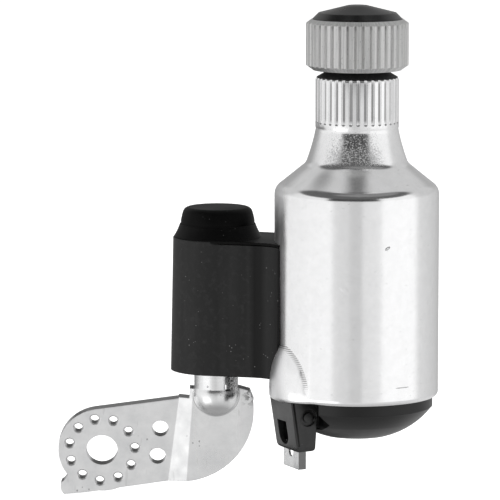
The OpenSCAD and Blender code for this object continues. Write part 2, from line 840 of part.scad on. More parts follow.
module drive_roller() {
    top_chamfer = [1.3, 0.95];
    low_chamfer = [1.5, 1.2];
    edge = 0.15;
    color("#a8a8a6") at_can() difference() {
        intersection() {
            rotate_extrude() polygon([[shaft_r, roller_z], [roller_r - low_chamfer.x - edge, roller_z],
                [roller_r - low_chamfer.x, roller_z + edge], [roller_r, roller_z + low_chamfer.y],
                [roller_r, roller_top - top_chamfer.y], [roller_r - top_chamfer.x, roller_top],
                [shaft_r, roller_top]]);
            translate([0, 0, roller_z - cut]) linear_extrude(height = roller_h + 2 * cut) difference() {
                circle(roller_r + cut);
                for (i = [0:groove_count - 1])
                    rotate([0, 0, (i + groove_phase) * 360 / groove_count]) roller_groove();
            }
        }
        translate([0, 0, roller_top - socket_depth]) cylinder(r = roller_r - socket_wall, h = far);
    }
}

module roller_nut() {
    color("gray") at_can() translate([0, 0, roller_top - socket_depth]) difference() {
        cylinder(r = nut_r, h = nut_h, $fn = 6);
        translate([0, 0, -cut]) cylinder(r = shaft_r, h = far);
    }
}

module roller_cap() {
    base_r = roller_r - 1.45;
    bevel = 1.55;
    crown_r = 2.35;
    plug_r = roller_r - socket_wall;
    plug_in = plug_r - 1.4;
    plug_low = -2.6;
    dish = -0.4;
    color("#141414") at_can() translate([0, 0, roller_top])
        rotate_extrude() polygon([[0, dish], [plug_in, dish], [plug_in, plug_low], [plug_r, plug_low],
            [plug_r, 0], [base_r, 0], [base_r - bevel, bevel], [crown_r, cap_h], [0, cap_h]]);
}

mounting_bracket();
latch_collar();
torsion_spring();
pivot_housing();
housing_cover();
can_shell();
saddle_screws();
bearing_sleeve();
upper_bush();
lower_bush();
oil_felt();
dust_seal();
upper_claw_pole();
lower_claw_pole();
coil_bobbin();
stator_coil();
contact_strip();
base_cap();
terminal_block();
button_spring();
terminal_spring();
rotor_shaft();
magnet_hub();
rotor_magnet();
drive_roller();
roller_nut();
roller_cap();
thrust_washer();
shaft_circlip();
push_button();
terminal_clip();
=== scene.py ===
"""Looks of the bottle dynamo: materials, studio light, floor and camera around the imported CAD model."""
import json
import math

import bpy
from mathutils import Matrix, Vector


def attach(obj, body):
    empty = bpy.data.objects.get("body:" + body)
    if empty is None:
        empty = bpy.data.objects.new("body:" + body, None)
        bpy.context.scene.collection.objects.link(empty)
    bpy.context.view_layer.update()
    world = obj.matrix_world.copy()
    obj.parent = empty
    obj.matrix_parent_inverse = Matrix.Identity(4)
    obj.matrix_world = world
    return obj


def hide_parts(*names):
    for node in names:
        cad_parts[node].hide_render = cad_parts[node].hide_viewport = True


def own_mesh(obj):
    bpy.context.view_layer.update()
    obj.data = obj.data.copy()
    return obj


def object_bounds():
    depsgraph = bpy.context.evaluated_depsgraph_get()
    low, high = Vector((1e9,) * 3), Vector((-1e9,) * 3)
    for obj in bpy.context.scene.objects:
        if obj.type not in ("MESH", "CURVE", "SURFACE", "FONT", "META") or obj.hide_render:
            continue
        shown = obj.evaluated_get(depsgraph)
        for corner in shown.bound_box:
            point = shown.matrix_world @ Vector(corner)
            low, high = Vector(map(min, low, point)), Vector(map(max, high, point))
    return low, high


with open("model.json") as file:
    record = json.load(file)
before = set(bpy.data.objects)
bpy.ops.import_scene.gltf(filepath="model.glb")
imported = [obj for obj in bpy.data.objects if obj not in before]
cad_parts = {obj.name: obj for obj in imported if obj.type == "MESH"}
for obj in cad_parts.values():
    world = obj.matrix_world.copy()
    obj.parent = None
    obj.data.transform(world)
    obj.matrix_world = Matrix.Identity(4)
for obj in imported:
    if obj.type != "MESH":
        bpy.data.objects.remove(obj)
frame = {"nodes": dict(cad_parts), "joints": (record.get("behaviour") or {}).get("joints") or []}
cad_lo, cad_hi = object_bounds()
nodes = frame["nodes"]
axes = {joint["name"]: joint.get("pos_m") for joint in frame["joints"]}

MM = 0.001
# Axes of the bottle and of the swivel tube, in the row frame
CAN_X, CAN_Y, _ = axes["rotor_spin"]
TUBE_X, TUBE_Y, _ = axes["swivel"]
# Middle and radius of the drawn dome below the tube, and where the bracket's rough ear starts
DOME_R, DOME_Z = 5.7 * MM, 14.656 * MM
EAR_X = 34.5 * MM
# The bracket's top edge climbs with x; its holes lie below this height at x = 0, and their upward walls get
# painted shade
RIM_SLOPE, RIM_Z = 0.13, 10 * MM
# Bottle: radius, shoulder, neck and its flutes
CAN_R, SHOULDER, FLUTE_LOW, NECK_TOP = 20.05 * MM, 73.756 * MM, 83.7 * MM, 94.356 * MM
FLUTES, REST_YAW = 35, math.radians(18)
FLUTE_TURN = FLUTES * REST_YAW - math.pi / 2
# Pressed pocket: painted shade in ticks along the crease at its edge
POCKET_LOW, POCKET_TOP, TICK_PITCH = 20 * MM, 33 * MM, 0.45 * MM
# Rubbed patch in front of the waist: its angle, half its width and the width of its fade
PATCH_ANGLE, PATCH_HALF, PATCH_FADE = math.radians(-96), math.radians(42), math.radians(16)
# How far the worn left side of the bottle lies from its axis
WORN_SIDE = 16.8 * MM
ROLLER_R, ROLLER_TOP = 12.45 * MM, 108.51 * MM
# Hollow between the housing's barrel and web, where the housing gets painted shade, and the upper edge of
# the base cap's dome, above which the base cap gets painted shade
HOLLOW_X, HOLLOW_HALF = 38.8 * MM, 2.2 * MM
BASE_RIM = 10.3 * MM
WIRE_PITCH = 0.3 * MM
SHARP_ANGLE, BENT_SHEET_ANGLE = 27.0, 12.0


# Small helpers for node trees

class Tree:
    """Node tree of one material, with the shader at hand."""

    def __init__(self, name):
        self.material = bpy.data.materials.new(name)
        self.material.use_nodes = True
        self.nt = self.material.node_tree
        self.bsdf = self.nt.nodes["Principled BSDF"]
        self.place = self.add("ShaderNodeTexCoord").outputs["Object"]

    def add(self, kind, **settings):
        node = self.nt.nodes.new(kind)
        for key, value in settings.items():
            setattr(node, key, value)
        return node

    def feed(self, socket, value):
        if isinstance(value, bpy.types.NodeSocket):
            self.nt.links.new(value, socket)
        else:
            socket.default_value = value

    def math(self, operation, a, b=0.0):
        node = self.add("ShaderNodeMath", operation=operation)
        self.feed(node.inputs[0], a)
        self.feed(node.inputs[1], b)
        return node.outputs[0]

    def noise(self, scale, detail=3.0, roughness=0.55, place=None, distortion=0.0):
        node = self.add("ShaderNodeTexNoise")
        self.feed(node.inputs["Vector"], place or self.place)
        self.feed(node.inputs["Scale"], scale)
        self.feed(node.inputs["Detail"], detail)
        self.feed(node.inputs["Roughness"], roughness)
        self.feed(node.inputs["Distortion"], distortion)
        return node.outputs["Fac"]

    def cells(self, scale):
        """Distance from the middle of a cell."""
        node = self.add("ShaderNodeTexVoronoi")
        self.feed(node.inputs["Vector"], self.place)
        self.feed(node.inputs["Scale"], scale)
        return node.outputs["Distance"]

    def stretched(self, sx, sy, sz):
        node = self.add("ShaderNodeMapping")
        self.feed(node.inputs["Vector"], self.place)
        node.inputs["Scale"].default_value = (sx, sy, sz)
        return node.outputs[0]

    def ramp(self, value, low, high, out_low=0.0, out_high=1.0):
        node = self.add("ShaderNodeMapRange")
        self.feed(node.inputs["Value"], value)
        node.inputs["From Min"].default_value = low
        node.inputs["From Max"].default_value = high
        node.inputs["To Min"].default_value = out_low
        node.inputs["To Max"].default_value = out_high
        return node.outputs[0]

    def band(self, value, low, high, fade_low, fade_high):
        """0 outside low and high, 1 between them, with a fade inside each."""
        return self.both(self.ramp(value, low, low + fade_low), self.ramp(value, high, high - fade_high))

    def blend(self, amount, a, b):
        node = self.add("ShaderNodeMix", data_type="RGBA")
        self.feed(node.inputs["Factor"], amount)
        self.feed(node.inputs["A"], a)
        self.feed(node.inputs["B"], b)
        return node.outputs["Result"]

    def stain(self, colour, mask, strength, new_colour):
        """Colour with another one laid over it where the mask is."""
        return self.blend(self.math("MULTIPLY", mask, strength), colour, new_colour)

    def bump(self, height, distance, strength=1.0, normal=None):
        node = self.add("ShaderNodeBump")
        self.feed(node.inputs["Height"], height)
        node.inputs["Distance"].default_value = distance
        node.inputs["Strength"].default_value = strength
        if normal is not None:
            self.feed(node.inputs["Normal"], normal)
        return node.outputs["Normal"]

    def round_edges(self, radius):
        node = self.add("ShaderNodeBevel", samples=4)
        node.inputs["Radius"].default_value = radius
        return node.outputs["Normal"]

    def split(self):
        """The three coordinates of a point on the piece."""
        node = self.add("ShaderNodeSeparateXYZ")
        self.feed(node.inputs[0], self.place)
        return node.outputs

    def around(self, x, y):
        """Cylinder coordinates about an upright axis: angle in radians and height."""
        place = self.split()
        angle = self.math("ARCTAN2", self.math("SUBTRACT", place["Y"], y),
                          self.math("SUBTRACT", place["X"], x))
        return angle, place["Z"]

    def wrapped(self, x, y, per_radian, per_metre):
        """A place that runs round an upright axis, for marks along or across it."""
        angle, height = self.around(x, y)
        join = self.add("ShaderNodeCombineXYZ")
        self.feed(join.inputs[0], self.math("MULTIPLY", angle, per_radian))
        self.feed(join.inputs[1], self.math("MULTIPLY", height, per_metre))
        return join.outputs[0]

    def distance(self, a, b):
        """Length of the step with these two sides."""
        return self.math("SQRT", self.math("ADD", self.math("MULTIPLY", a, a), self.math("MULTIPLY", b, b)))

    def off_axis(self, x, y, axis_x, axis_y):
        """Distance from an upright axis."""
        return self.distance(self.math("SUBTRACT", x, axis_x), self.math("SUBTRACT", y, axis_y))

    def both(self, *masks):
        result = masks[0]
        for mask in masks[1:]:
            result = self.math("MULTIPLY", result, mask)
        return result

    def facing(self, direction, low, high):
        """1 where the surface faces that way, 0 where it does not."""
        node = self.add("ShaderNodeVectorMath", operation="DOT_PRODUCT")
        self.feed(node.inputs[0], self.add("ShaderNodeNewGeometry").outputs["Normal"])
        node.inputs[1].default_value = Vector(direction).normalized()
        return self.ramp(node.outputs["Value"], low, high)

    def nick(self, angle, height, at, half, tilt=0.0):
        """A small mark on a round wall: 1 in its middle, 0 outside it. Its place and half size are in
        degrees and millimetres, and it climbs by the tilt in millimetres a radian."""
        aside = self.math("SUBTRACT", angle, math.radians(at[0]))
        line = self.math("ADD", at[1] * MM, self.math("MULTIPLY", aside, tilt * MM))
        above = self.math("DIVIDE", self.math("SUBTRACT", height, line), half[1] * MM)
        aside = self.math("DIVIDE", aside, math.radians(half[0]))
        return self.ramp(self.distance(aside, above), 1.0, 0.5)

    def finish(self, colour, roughness, normal=None, metallic=0.0, **constants):
        self.feed(self.bsdf.inputs["Base Color"], colour)
        self.feed(self.bsdf.inputs["Roughness"], roughness)
        self.bsdf.inputs["Metallic"].default_value = metallic
        if normal is not None:
            self.feed(self.bsdf.inputs["Normal"], normal)
        for key, value in constants.items():
            self.bsdf.inputs[key.replace("_", " ")].default_value = value
        return self.material


def grey(v):
    return (v, v, v, 1.0)


# Materials

def can_masks(t, angle, height):
    """Where the bottle is fluted, rubbed and marked: painted shade in the flutes' grooves, the waist's
    patch, painted shade in ticks along the pocket's crease, and the left side."""
    x, y, _ = t.split()
    out = t.off_axis(x, y, CAN_X, CAN_Y)
    lands = t.math("SINE", t.math("ADD", t.math("MULTIPLY", angle, FLUTES), FLUTE_TURN))
    # Painted shade: the grooves between the neck's flutes, darkened in colour
    flute_groove_shade = t.both(t.ramp(lands, -0.48, -0.66), t.band(height, FLUTE_LOW, NECK_TOP, MM, MM))
    off_patch = t.math("ABSOLUTE", t.math("SUBTRACT", angle, PATCH_ANGLE))
    waist = t.both(t.band(height, SHOULDER - 0.8 * MM, FLUTE_LOW, 2 * MM, MM),
                   t.ramp(off_patch, PATCH_HALF, PATCH_HALF - PATCH_FADE))
    ticks = t.ramp(t.math("SINE", t.math("MULTIPLY", height, 2 * math.pi / TICK_PITCH)), -0.2, 0.2)
    # Painted shade, broken into ticks, along the crease where the pocket meets the bottle
    pocket_crease_shade = t.both(t.band(out, CAN_R + 0.02 * MM, CAN_R + 0.6 * MM, 0.03 * MM, 0.3 * MM), ticks,
                         t.band(height, POCKET_LOW, POCKET_TOP, 2 * MM, MM))
    worn = t.ramp(x, CAN_X - WORN_SIDE, CAN_X - WORN_SIDE - 2 * MM)
    return flute_groove_shade, waist, pocket_crease_shade, worn


def polished_aluminium():
    """The drawn bottle: polished, with painted shade in its flute grooves and along its pocket's crease,
    fine lines, small dents, scratches and nicks, and speckled where its waist is rubbed."""
    t = Tree("polished_aluminium")
    angle, height = t.around(CAN_X, CAN_Y)
    flute_groove_shade, waist, pocket_crease_shade, worn = can_masks(t, angle, height)
    lines = t.noise(1.0, 2.0, 0.6, t.wrapped(CAN_X, CAN_Y, 60.0, 900.0))
    dents = t.ramp(t.cells(170.0), 0.0, 0.16)
    grit = t.noise(2900.0, 2.0, 0.6)
    more_low = t.ramp(height, FLUTE_LOW - MM, SHOULDER + 3 * MM, -0.07, 0.05)
    speckles = t.math("MULTIPLY", t.ramp(t.math("ADD", grit, more_low), 0.54, 0.59), waist)
    scratches = t.ramp(t.noise(3.0, 1.0, 0.4, t.wrapped(CAN_X, CAN_Y, 5.0, 900.0)), 0.72, 0.76)
    nicks = t.math("MAXIMUM", t.nick(angle, height, at=(-69.9, 54.9), half=(2.0, 0.35), tilt=9.0),
                   t.nick(angle, height, at=(-57.7, 20.9), half=(5.5, 0.1)))
    shallow_dent = t.nick(angle, height, at=(-100.2, 45.2), half=(3.2, 0.8), tilt=-8.0)

    normal = t.bump(t.noise(70.0, 2.0, 0.4), 0.4 * MM, 0.2)
    normal = t.bump(lines, 0.02 * MM, 0.25, normal)
    normal = t.bump(dents, 0.12 * MM, 0.2, normal)
    normal = t.bump(t.math("MULTIPLY", grit, waist), 0.03 * MM, 0.4, normal)
    normal = t.bump(nicks, 0.3 * MM, 1.0, normal)
    normal = t.bump(shallow_dent, 0.03 * MM, 0.7, normal)

    cloud = t.ramp(t.noise(400.0, 4.0, 0.7), 0.35, 0.75)
    colour = t.blend(cloud, (0.93, 0.93, 0.935, 1), (0.87, 0.87, 0.875, 1))
    colour = t.stain(colour, scratches, 0.35, grey(0.55))
    # Painted shade in the flutes' grooves
    colour = t.stain(colour, flute_groove_shade, 0.8, grey(0.18))
    colour = t.stain(colour, nicks, 0.3, grey(0.4))
    # Painted shade along the pocket's crease
    colour = t.stain(colour, pocket_crease_shade, 0.7, grey(0.12))

    rough = t.ramp(t.noise(160.0, 4.0, 0.6), 0.3, 0.75, 0.11, 0.18)
    above_shoulder = t.ramp(height, SHOULDER - 2 * MM, SHOULDER + 3 * MM)
    for mask, added in ((above_shoulder, 0.05), (worn, 0.25), (speckles, 0.42)):
        rough = t.math("ADD", rough, t.math("MULTIPLY", mask, added))
    return t.finish(colour, rough, normal, 1.0)


def roller_zinc():
    """The serrated roller: matte grey metal with fine upright lines, and painted shade at the top of its
    grooves.
    """
    t = Tree("roller_zinc")
    lines = t.noise(1.0, 4.0, 0.8, t.wrapped(CAN_X, CAN_Y, 26.0, 18.0))
    x, y, height = t.split()
    in_groove = t.ramp(t.off_axis(x, y, CAN_X, CAN_Y), ROLLER_R - 0.12 * MM, ROLLER_R - 0.3 * MM)
    near_top = t.band(height, ROLLER_TOP - 2.4 * MM, ROLLER_TOP - MM, 0.9 * MM, 0.1 * MM)
    # Painted shade where the grooves meet the top chamfer
    painted_shade = t.both(in_groove, near_top, t.ramp(lines, 0.62, 0.4))
    grains = t.noise(2600.0, 2.0, 0.6)
    colour = t.blend(t.ramp(lines, 0.32, 0.68), grey(0.46), (0.8, 0.8, 0.79, 1))
    colour = t.blend(t.ramp(grains, 0.62, 0.75), colour, grey(0.38))
    # Painted shade at the top of the grooves
    colour = t.stain(colour, painted_shade, 0.6, grey(0.1))
    normal = t.bump(lines, 0.06 * MM, 0.5, t.round_edges(0.12 * MM))
    normal = t.bump(grains, 0.03 * MM, 0.3, normal)
    return t.finish(colour, t.ramp(lines, 0.2, 0.8, 0.5, 0.36), normal, 0.9)


def black_plastic(name, tone, rough, dust, gloss, edge=0.3 * MM, hollow_shade=False, rim_shade=False):
    """Satin moulded plastic with a fine grain, darker upright streaking that is painted reflection, and a
    few dust specks.
    The housing has painted shade in the concave upright valley between its barrel and web, and the base cap
    painted shade above its dome."""
    t = Tree(name)
    cloud = t.noise(90.0, 3.0, 0.6)
    # Painted reflection: darker upright streaks standing in for the streaky reflections of the curved
    # mouldings
    reflection_streaks = t.noise(1.0, 2.0, 0.6, t.stretched(230.0, 120.0, 6.0))
    specks = t.both(t.ramp(t.cells(900.0), 0.12, 0.06), t.ramp(t.noise(240.0, 2.0), 0.56, 0.6))
    colour = t.blend(t.ramp(cloud, 0.35, 0.7), grey(tone), grey(tone * 1.3))
    # Painted reflection streaks laid into the colour
    colour = t.blend(t.ramp(reflection_streaks, 0.4, 0.7), colour, grey(tone * 0.7))
    colour = t.blend(t.ramp(t.noise(700.0, 3.0, 0.7), 0.5, 0.75), colour, grey(tone * 1.5))
    if hollow_shade:
        # Painted shade: darker from the concave valley towards the bottle, darkest in the valley itself
        x = t.split()["X"]
        aside = t.math("ABSOLUTE", t.math("SUBTRACT", x, HOLLOW_X))
        colour = t.blend(t.ramp(x, HOLLOW_X, HOLLOW_X + 2 * HOLLOW_HALF), colour, grey(tone * 0.65))
        colour = t.blend(t.ramp(aside, HOLLOW_HALF, HOLLOW_HALF * 0.35), colour, grey(tone * 0.2))
    if rim_shade:
        # Painted shade on the base cap above its dome, under the bottle's rolled edge
        above = t.ramp(t.split()["Z"], BASE_RIM - 0.2 * MM, BASE_RIM + 0.2 * MM)
        colour = t.blend(above, colour, grey(tone * 0.1))
    colour = t.stain(colour, specks, dust, grey(0.4))
    normal = t.bump(t.noise(3800.0, 2.0, 0.5), 0.03 * MM, 0.35, t.round_edges(edge))
    normal = t.bump(t.noise(60.0, 2.0), 0.3 * MM, 0.12, normal)
    return t.finish(colour, t.ramp(cloud, 0.3, 0.7, *rough), normal, Specular_IOR_Level=gloss)


def gloss_black():
    """The roller's cap: smoother and glossier than the housing."""
    t = Tree("cap_black")
    cloud = t.noise(160.0, 3.0, 0.6)
    normal = t.bump(t.noise(500.0, 2.0), 0.05 * MM, 0.15, t.round_edges(0.3 * MM))
    colour = t.blend(t.ramp(cloud, 0.3, 0.7), grey(0.002), grey(0.004))
    return t.finish(colour, t.ramp(cloud, 0.3, 0.7, 0.2, 0.28), normal)


def rubber():
    """The dust seal: dull, with an oily grain."""
    t = Tree("seal_rubber")
    cloud = t.noise(300.0, 3.0, 0.6)
    grain = t.noise(2600.0, 3.0, 0.7)
    colour = t.blend(t.ramp(grain, 0.4, 0.65), grey(0.004), grey(0.022))
    return t.finish(colour, t.ramp(cloud, 0.3, 0.7, 0.5, 0.65), t.bump(grain, 0.1 * MM, 0.6))


def drawn_tube_masks(t):
    """Where the bracket's tube and dome are: all of the drawn part, its underside, which gets painted
    shade, the painted dark line where the dome meets the sheet, and painted shade on its right and along
    the rough ear, where the sheet is also dented as burrs."""
    x, y, height = t.split()
    off_tube = t.off_axis(x, y, TUBE_X, TUBE_Y)
    off_dome = t.distance(off_tube, t.math("SUBTRACT", height, DOME_Z))
    drawn_part = t.ramp(off_tube, DOME_R + 0.3 * MM, DOME_R + 0.1 * MM)
    # Painted shade on the drawn part's downward faces
    underside_shade = t.both(t.facing((0, -0.35, -1), 0.45, 0.75), drawn_part)
    # Painted shade along the line where the dome meets the sheet
    fold_line_shade = t.both(t.band(off_dome, DOME_R + 0.02 * MM, DOME_R + 0.35 * MM, 0.06 * MM, 0.2 * MM),
                  t.ramp(height, DOME_Z + MM, DOME_Z))
    # Painted shade on the tube's right side near the dome, with a noisy edge
    right_side_shade = t.both(t.ramp(x, TUBE_X + 2.2 * MM, TUBE_X + 3 * MM), drawn_part,
                   t.ramp(height, DOME_Z - 0.5 * MM, DOME_Z + 2.5 * MM),
                   t.ramp(t.noise(1800.0, 3.0, 0.7), 0.38, 0.55))
    # Painted shade along the rough ear, which the plated sheet also dents as burrs
    ear_burr_shade = t.both(t.ramp(x, EAR_X, EAR_X + 2 * MM), t.ramp(height, DOME_Z - 4 * MM, DOME_Z - MM),
                   t.ramp(t.noise(900.0, 3.0, 0.7), 0.5, 0.56))
    return drawn_part, underside_shade, fold_line_shade, t.math("MAXIMUM", right_side_shade, ear_burr_shade)


def plated_steel(name, tone, rough, cut_side, cut_tone, hole_shade_tone, edge):
    """Zinc-plated sheet: satin, mottled, with pits and fine scratches, and darker on its cut edges. Painted
    shade darkens its holes' lower walls, the dome's underside and edge, the tube's right and the rough ear.
    """
    t = Tree(name)
    drawn_part, underside_shade, fold_line_shade, painted_shade = drawn_tube_masks(t)
    x, _, height = t.split()
    mottle = t.noise(220.0, 4.0, 0.65)
    drawn_grain = t.noise(1.0, 3.0, 0.6, t.stretched(300.0, 300.0, 2400.0))
    pits = t.both(t.ramp(t.cells(520.0), 0.16, 0.08), t.ramp(t.noise(130.0, 2.0), 0.58, 0.62))
    marks = t.ramp(t.noise(1.0, 1.0, 0.4, t.stretched(900.0, 900.0, 60.0)), 0.7, 0.74)
    level = t.math("SUBTRACT", height, t.math("MULTIPLY", x, RIM_SLOPE))
    # Painted shade on the upward walls of the holes, below the top edge
    hole_shade = t.ramp(level, RIM_Z + 0.6 * MM, RIM_Z)

    colour = t.blend(t.ramp(mottle, 0.3, 0.72), grey(tone), (tone * 0.86, tone * 0.865, tone * 0.87, 1))
    colour = t.stain(colour, marks, 0.25, grey(tone * 0.6))
    # Cut edges darker; the holes' lower walls darker still, as painted shade
    cut_colour = t.blend(hole_shade, grey(cut_tone), grey(hole_shade_tone))
    colour = t.blend(t.facing(cut_side, 0.6, 0.8), colour, cut_colour)
    # Painted shade under the dome and along its edge
    colour = t.stain(colour, underside_shade, 0.5, grey(0.3))
    colour = t.stain(colour, fold_line_shade, 0.5, grey(0.3))
    # Painted shade on the tube's right and along the ear
    colour = t.stain(colour, painted_shade, 0.75, grey(0.1))
    colour = t.stain(colour, pits, 0.6, grey(0.2))

    normal = t.bump(mottle, 0.08 * MM, 0.3, t.round_edges(edge))
    # The painted-shade mask also dents the surface a little, as relief of the burrs and the marked places
    normal = t.bump(t.math("MULTIPLY", painted_shade, -1.0), 0.1 * MM, 0.5, normal)
    normal = t.bump(drawn_grain, 0.03 * MM, 0.3, normal)
    normal = t.bump(t.math("SUBTRACT", 1.0, pits), 0.1 * MM, 0.5, normal)

    smoother = t.ramp(drawn_part, 0.0, 1.0, 1.0, 0.6)
    return t.finish(colour, t.math("MULTIPLY", t.ramp(mottle, 0.3, 0.7, *rough), smoother), normal, 1.0)


def inner_metal(name, dark, light, rough=0.35, scale=500.0):
    """Metal pieces inside the housing and the bottle, with drawn or pressed grain."""
    t = Tree(name)
    grain = t.noise(scale, 3.0, 0.6)
    normal = t.bump(grain, 0.04 * MM, 0.3, t.round_edges(0.1 * MM))
    return t.finish(t.blend(grain, dark, light), t.ramp(grain, 0.3, 0.7, rough, rough + 0.15), normal, 1.0)


def copper_winding():
    """Enamelled wire: turns show as fine rings up the winding."""
    t = Tree("copper_winding")
    _, height = t.around(CAN_X, CAN_Y)
    turns = t.math("SINE", t.math("MULTIPLY", height, 2 * math.pi / WIRE_PITCH))
    colour = t.blend(t.ramp(turns, -1.0, 1.0), (0.2, 0.06, 0.02, 1), (0.62, 0.24, 0.09, 1))
    return t.finish(colour, 0.35, t.bump(turns, 0.08 * MM, 0.6), 0.8)


def felt():
    t = Tree("oiled_felt")
    fibres = t.noise(2500.0, 4.0, 0.7, distortion=0.8)
    colour = t.blend(fibres, (0.28, 0.2, 0.1, 1), (0.5, 0.4, 0.24, 1))
    return t.finish(colour, 0.9, t.bump(fibres, 0.2 * MM, 0.8))


def moulded_ivory():
    t = Tree("ivory_plastic")
    colour = t.blend(t.noise(200.0, 3.0), (0.62, 0.56, 0.42, 1), (0.76, 0.71, 0.58, 1))
    return t.finish(colour, 0.42, t.bump(t.noise(2500.0), 0.03 * MM, 0.3))


# Pieces

def coat(piece, material, sharp=SHARP_ANGLE):
    """Gives a piece its material, and smooth shading across all but sharp edges."""
    piece.data.materials.clear()
    piece.data.materials.append(material)
    for face in piece.data.polygons:
        face.use_smooth = True
    weld = piece.modifiers.new("weld", "WELD")
    weld.merge_threshold = 0.002 * MM
    split = piece.modifiers.new("sharp edges", "EDGE_SPLIT")
    split.split_angle = math.radians(sharp)


def dress(material, *names, sharp=SHARP_ANGLE):
    """Coats CAD nodes."""
    for name in names:
        coat(nodes[name], material, sharp)


def spring_that_shortens(name, material):
    """A copy of the coil spring, coated and fixed to the dynamo's body in place of the CAD's rigid one,
    which is hidden.
    """
    coil = bpy.data.objects.new(name + "_coil", nodes[name].data.copy())
    bpy.context.scene.collection.objects.link(coil)
    coat(coil, material)
    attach(coil, "dynamo_body")
    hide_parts(name)
    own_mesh(coil)


# Studio

class Sky:
    """Node tree of the world, worked out from the direction in which a ray leaves."""

    def __init__(self):
        world = bpy.data.worlds.new("studio")
        bpy.context.scene.world = world
        world.use_nodes = True
        self.nt = world.node_tree
        split = self.add("ShaderNodeSeparateXYZ")
        self.nt.links.new(self.add("ShaderNodeTexCoord").outputs["Generated"], split.inputs[0])
        side = self.calc("ARCTAN2", split.outputs["X"], self.calc("MULTIPLY", split.outputs["Y"], -1.0))
        self.side = self.calc("MULTIPLY", side, 180 / math.pi)
        self.height = self.calc("MULTIPLY", self.calc("ARCSINE", split.outputs["Z"]), 180 / math.pi)

    def add(self, kind, **settings):
        node = self.nt.nodes.new(kind)
        for key, value in settings.items():
            setattr(node, key, value)
        return node

    def calc(self, operation, a, b=0.0):
        node = self.add("ShaderNodeMath", operation=operation)
        for socket, value in zip(node.inputs, (a, b)):
            if isinstance(value, bpy.types.NodeSocket):
                self.nt.links.new(value, socket)
            else:
                socket.default_value = value
        return node.outputs[0]

    def step(self, value, low, high):
        """0 below low, 1 above high; the other way round where low is the larger."""
        node = self.add("ShaderNodeMapRange", interpolation_type="SMOOTHSTEP")
        self.nt.links.new(value, node.inputs["Value"])
        node.inputs["From Min"].default_value = low
        node.inputs["From Max"].default_value = high
        return node.outputs[0]

    def both(self, a, b):
        return self.calc("MULTIPLY", a, b)

    def tones(self, stops):
        """Tones round the horizon, from 180 degrees left of the camera to 180 degrees right of it."""
        node = self.add("ShaderNodeValToRGB")
        turn = self.calc("ADD", self.calc("DIVIDE", self.side, 360.0), 0.5)
        self.nt.links.new(turn, node.inputs[0])
        ramp = node.color_ramp
        while len(ramp.elements) < len(stops):
            ramp.elements.new(0.5)
        for element, (degrees, tone) in zip(ramp.elements, stops):
            element.position = (degrees + 180) / 360
            element.color = (tone, tone, tone, 1)
        return node.outputs[0]

    def oval(self, side, height, half_side, half_height):
        """1 inside an oval patch of the world, 0 outside it."""
        across = self.calc("DIVIDE", self.calc("SUBTRACT", self.side, side), half_side)
        upright = self.calc("DIVIDE", self.calc("SUBTRACT", self.height, height), half_height)
        out = self.calc("ADD", self.calc("POWER", across, 2.0), self.calc("POWER", upright, 2.0))
        return self.step(out, 1.15, 0.8)

    def panel(self, side, height, half_side, half_height, fade_side, fade_height):
        """1 inside a rectangular patch of the world, 0 outside it, with a fade inside its edges."""
        across = self.calc("ABSOLUTE", self.calc("SUBTRACT", self.side, side))
        upright = self.calc("ABSOLUTE", self.calc("SUBTRACT", self.height, height))
        return self.both(self.step(across, half_side, half_side - fade_side),
                         self.step(upright, half_height, half_height - fade_height))

    def over(self, tone, mask, new_tone):
        kept = self.calc("MULTIPLY", tone, self.calc("SUBTRACT", 1.0, mask))
        return self.calc("ADD", kept, self.calc("MULTIPLY", mask, new_tone))


def world_light():
    """White tent, dimmer behind and overhead, with dark gaps above and beside the camera.
    Places are in degrees: to the right of the camera, and above the horizon."""
    sky = Sky()
    tone = sky.tones([(-180, 0.4), (-150, 0.36), (-135, 0.4), (-124, 0.6), (-112, 0.9), (-39, 1.0),
                      (-31, 0.76), (-13, 0.73), (-9, 0.64), (4, 0.64), (8, 0.8), (30, 0.86), (37, 1.07),
                      (86, 1.07), (97, 0.76), (140, 0.6), (180, 0.4)])
    raised = sky.step(sky.height, 6.0, 14.0)
    tone = sky.calc("MULTIPLY", tone, sky.calc("SUBTRACT", 1.0, sky.calc("MULTIPLY", raised, 0.1)))
    away = sky.calc("ABSOLUTE", sky.side)
    above = sky.step(sky.height, 8.0, 24.0)
    tone = sky.over(tone, sky.both(sky.step(away, 96.0, 116.0), above), 0.62)
    tone = sky.over(tone, sky.both(sky.step(away, 145.0, 165.0), above), 0.3)
    overhead = sky.step(sky.height, 76.0, 86.0)
    tone = sky.over(tone, overhead, 0.15)
    tone = sky.over(tone, sky.step(sky.height, -12.0, -22.0), 0.72)
    low_left = sky.both(sky.step(sky.height, -7.0, -13.0), sky.step(sky.side, -94.0, -112.0))
    tone = sky.over(tone, low_left, 0.1)
    underneath = sky.step(sky.height, -38.0, -60.0)
    tone = sky.over(tone, underneath, 0.55)
    bright_card = sky.panel(-50.0, -25.0, 28.0, 18.0, 10.0, 8.0)
    tone = sky.over(tone, bright_card, 1.4)
    camera_gap = sky.panel(-6.0, 25.0, 42.0, 21.0, 10.0, 8.0)
    tone = sky.over(tone, camera_gap, 0.06)
    tone = sky.over(tone, sky.oval(-8.0, 54.5, 125.0, 28.5), 0.12)
    tone = sky.over(tone, sky.oval(28.0, 62.0, 80.0, 14.0), 0.24)
    seen = sky.add("ShaderNodeLightPath").outputs["Is Camera Ray"]
    tone = sky.over(tone, seen, 1.0)
    back = sky.nt.nodes["Background"]
    sky.nt.links.new(tone, back.inputs["Strength"])
    back.inputs["Color"].default_value = (1, 1, 1, 1)


